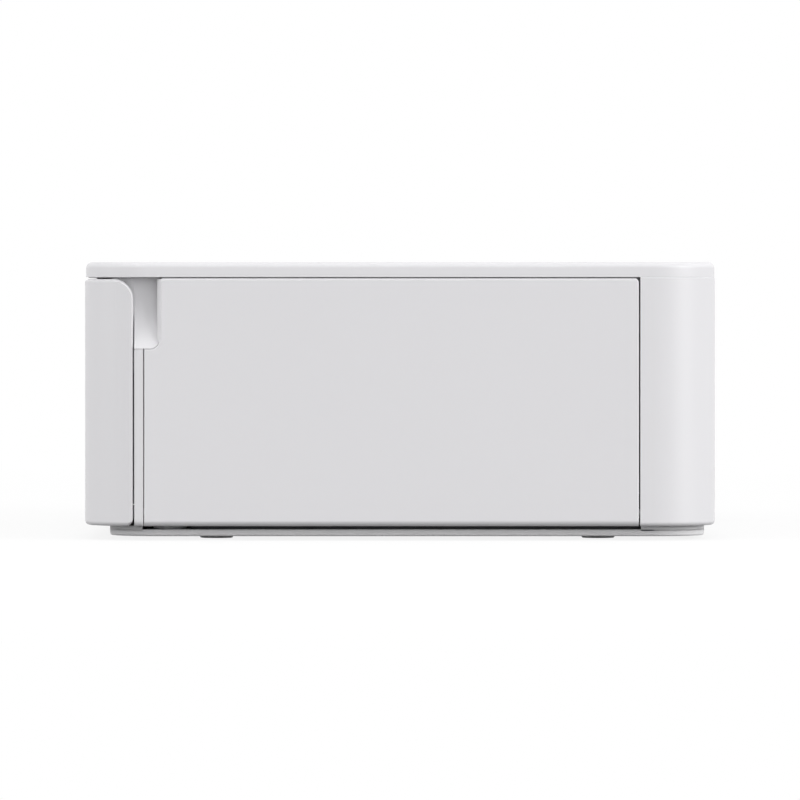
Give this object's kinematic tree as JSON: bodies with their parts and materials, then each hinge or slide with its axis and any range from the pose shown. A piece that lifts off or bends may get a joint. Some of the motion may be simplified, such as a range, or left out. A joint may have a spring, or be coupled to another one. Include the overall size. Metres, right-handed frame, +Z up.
{
  "type": "compact photo printer",
  "caption": "Compact dye-sublimation photo printer: rounded white box with an overhanging lid plate, fold-down front cover, side ink door and an ink cassette inside.",
  "frame": {"origin": "middle of the footprint, at the bottom of the feet", "axes": "+X to the side with the ink door, +Y from the front cover to the back, +Z up"},
  "size_m": [0.1822, 0.133, 0.0584],
  "materials": {
    "case_white": "satin",
    "pan_grey": "satin",
    "foot_rubber": "matte",
    "key_grey": "satin",
    "window_black": "gloss",
    "panel_dark": "matte",
    "board_green": "satin",
    "black_plastic": "matte",
    "tray_grey": "matte",
    "steel": "brushed",
    "fin_aluminium": "satin",
    "head_ceramic": "gloss",
    "gear_white": "satin",
    "pinion_brass": "satin",
    "cassette_grey": "satin",
    "spool_film": "gloss",
    "latch_blue": "satin"
  },
  "bodies": {
    "case": {"base_pan": "pan_grey", "rubber_feet": "foot_rubber", "main_shell": "case_white", "top_plate": "case_white", "side_bezel": "case_white", "display_window": "window_black", "display_panel": "panel_dark", "key_board": "board_green", "chassis_tray": "tray_grey", "left_plate": "steel", "right_plate": "steel", "head_springs": "steel", "head_motor": "steel", "motor_plate": "steel", "feed_motor": "steel", "latch_pin": "steel", "main_board": "board_green", "board_parts": "black_plastic", "dc_inlet": "black_plastic", "usb_socket": "steel", "card_socket": "steel", "fan_frame": "black_plastic", "case_screws": "steel"},
    "front_cover": {"front_cover": "case_white"},
    "ink_door": {"ink_door": "case_white"},
    "power_key": {"power_key": "key_grey"},
    "print_key": {"print_key": "key_grey"},
    "home_key": {"home_key": "key_grey"},
    "back_key": {"back_key": "key_grey"},
    "plus_key": {"plus_key": "key_grey"},
    "minus_key": {"minus_key": "key_grey"},
    "ok_key": {"ok_key": "key_grey"},
    "nav_ring": {"nav_ring": "key_grey"},
    "capstan": {"capstan_roller": "steel", "capstan_gear": "gear_white"},
    "platen": {"platen_roller": "foot_rubber", "platen_shaft": "steel"},
    "pinch": {"pinch_roller": "foot_rubber"},
    "pickup": {"pickup_roller": "foot_rubber", "pickup_shaft": "steel", "pickup_gear": "gear_white"},
    "pickup_idler": {"pickup_idler": "gear_white"},
    "feed_idler": {"feed_idler": "gear_white"},
    "feed_pinion": {"feed_pinion": "pinion_brass"},
    "takeup_drive": {"takeup_gear": "gear_white"},
    "supply_drive": {"supply_hub": "gear_white"},
    "cam": {"cam_shaft": "steel", "cam_gear": "gear_white"},
    "head_pinion": {"head_pinion": "pinion_brass"},
    "head": {"head_carriage": "steel", "heat_sink": "fin_aluminium", "thermal_head": "head_ceramic"},
    "ink_cassette": {"ink_cassette_case": "cassette_grey", "ink_film": "spool_film"},
    "takeup_spool": {"takeup_spool": "spool_film"},
    "supply_spool": {"supply_spool": "spool_film"},
    "latch": {"cassette_latch": "latch_blue"},
    "fan": {"fan_rotor": "black_plastic"}
  },
  "joints": [
    {"name": "front_cover_hinge", "type": "hinge", "parent": "case", "child": "front_cover", "pos_m": [0, -0.0633, 0.0046], "axis": [1, 0, 0], "range_deg": [0, 90]},
    {"name": "ink_door_hinge", "type": "hinge", "parent": "case", "child": "ink_door", "pos_m": [0.0887, 0, 0.0056], "axis": [0, 1, 0], "range_deg": [0, 90]},
    {"name": "power_key_press", "type": "slide", "parent": "case", "child": "power_key", "axis": [0, 0, 1], "range_m": [-0.0005, 0], "stiffness_N_per_m": 400, "springref_m": 0.0002},
    {"name": "print_key_press", "type": "slide", "parent": "case", "child": "print_key", "axis": [0, 0, 1], "range_m": [-0.0005, 0], "stiffness_N_per_m": 400, "springref_m": 0.0002},
    {"name": "home_key_press", "type": "slide", "parent": "case", "child": "home_key", "axis": [0, 0, 1], "range_m": [-0.0005, 0], "stiffness_N_per_m": 400, "springref_m": 0.0002},
    {"name": "back_key_press", "type": "slide", "parent": "case", "child": "back_key", "axis": [0, 0, 1], "range_m": [-0.0005, 0], "stiffness_N_per_m": 400, "springref_m": 0.0002},
    {"name": "plus_key_press", "type": "slide", "parent": "case", "child": "plus_key", "axis": [0, 0, 1], "range_m": [-0.0005, 0], "stiffness_N_per_m": 400, "springref_m": 0.0002},
    {"name": "minus_key_press", "type": "slide", "parent": "case", "child": "minus_key", "axis": [0, 0, 1], "range_m": [-0.0005, 0], "stiffness_N_per_m": 400, "springref_m": 0.0002},
    {"name": "ok_key_press", "type": "slide", "parent": "case", "child": "ok_key", "axis": [0, 0, 1], "range_m": [-0.0005, 0], "stiffness_N_per_m": 400, "springref_m": 0.0002},
    {"name": "nav_ring_tilt", "type": "hinge", "parent": "case", "child": "nav_ring", "pos_m": [0.044, -0.002, 0.0554], "axis": [1, 0, 0], "range_deg": [-2, 2], "stiffness_Nm_per_rad": 0.05},
    {"name": "capstan_spin", "type": "hinge", "parent": "case", "child": "capstan", "pos_m": [0, 0.034, 0.0231], "axis": [1, 0, 0], "continuous": true},
    {"name": "pinch_spin", "type": "hinge", "parent": "case", "child": "pinch", "pos_m": [0, 0.034, 0.018], "axis": [1, 0, 0], "continuous": true},
    {"name": "feed_idler_spin", "type": "hinge", "parent": "case", "child": "feed_idler", "pos_m": [0, 0.01549, 0.018], "axis": [1, 0, 0], "continuous": true},
    {"name": "feed_pinion_spin", "type": "hinge", "parent": "case", "child": "feed_pinion", "pos_m": [0, -0.00291, 0.018], "axis": [1, 0, 0], "continuous": true},
    {"name": "takeup_drive_spin", "type": "hinge", "parent": "case", "child": "takeup_drive", "pos_m": [0, 0.034, 0.0367], "axis": [1, 0, 0], "continuous": true},
    {"name": "supply_drive_spin", "type": "hinge", "parent": "case", "child": "supply_drive", "pos_m": [0, -0.018, 0.0367], "axis": [1, 0, 0], "continuous": true},
    {"name": "takeup_spool_spin", "type": "hinge", "parent": "ink_cassette", "child": "takeup_spool", "pos_m": [0, 0.034, 0.0367], "axis": [1, 0, 0], "continuous": true},
    {"name": "supply_spool_spin", "type": "hinge", "parent": "ink_cassette", "child": "supply_spool", "pos_m": [0, -0.018, 0.0367], "axis": [1, 0, 0], "continuous": true},
    {"name": "pickup_idler_spin", "type": "hinge", "parent": "case", "child": "pickup_idler", "pos_m": [0, -0.01757, 0.02004], "axis": [1, 0, 0], "continuous": true},
    {"name": "pickup_spin", "type": "hinge", "parent": "case", "child": "pickup", "pos_m": [0, -0.038, 0.0282], "axis": [1, 0, 0], "continuous": true},
    {"name": "platen_spin", "type": "hinge", "parent": "case", "child": "platen", "pos_m": [0, 0.008, 0.014], "axis": [1, 0, 0], "continuous": true},
    {"name": "cam_spin", "type": "hinge", "parent": "case", "child": "cam", "pos_m": [0, 0.008, 0.044], "axis": [1, 0, 0], "range_deg": [0, 170]},
    {"name": "head_slide", "type": "slide", "parent": "case", "child": "head", "axis": [0, 0, 1], "range_m": [-0.0039, 0], "deforming": ["head_springs"]},
    {"name": "head_pinion_spin", "type": "hinge", "parent": "case", "child": "head_pinion", "pos_m": [0, -0.0024, 0.044], "axis": [1, 0, 0], "range_deg": [-272, 0]},
    {"name": "cassette_slide", "type": "slide", "parent": "case", "child": "ink_cassette", "axis": [1, 0, 0], "range_m": [0, 0.002]},
    {"name": "latch_hinge", "type": "hinge", "parent": "case", "child": "latch", "pos_m": [0.0831, -0.0319, 0.0367], "axis": [0, 0, -1], "range_deg": [0, 15]},
    {"name": "fan_spin", "type": "hinge", "parent": "case", "child": "fan", "pos_m": [-0.0601, 0.0563, 0.034], "axis": [0, 1, 0], "continuous": true}
  ],
  "couplings": [
    {"joint": "capstan_spin", "follows": "supply_spool_spin", "ratio": -1.4286},
    {"joint": "pinch_spin", "follows": "supply_spool_spin", "ratio": 0.95238},
    {"joint": "feed_idler_spin", "follows": "supply_spool_spin", "ratio": 0.58824},
    {"joint": "feed_pinion_spin", "follows": "supply_spool_spin", "ratio": -1.6667},
    {"joint": "takeup_drive_spin", "follows": "supply_spool_spin", "ratio": 1},
    {"joint": "takeup_spool_spin", "follows": "supply_spool_spin", "ratio": 1},
    {"joint": "supply_drive_spin", "follows": "supply_spool_spin", "ratio": 1},
    {"joint": "pickup_idler_spin", "follows": "supply_spool_spin", "ratio": 0.8},
    {"joint": "pickup_spin", "follows": "supply_spool_spin", "ratio": -0.66667},
    {"joint": "cam_spin", "follows": "head_slide", "rad_per_m": -760.78},
    {"joint": "head_pinion_spin", "follows": "head_slide", "rad_per_m": 1217.3},
    {"joint": "latch_hinge", "follows": "cassette_slide", "rad_per_m": 130.9}
  ]
}
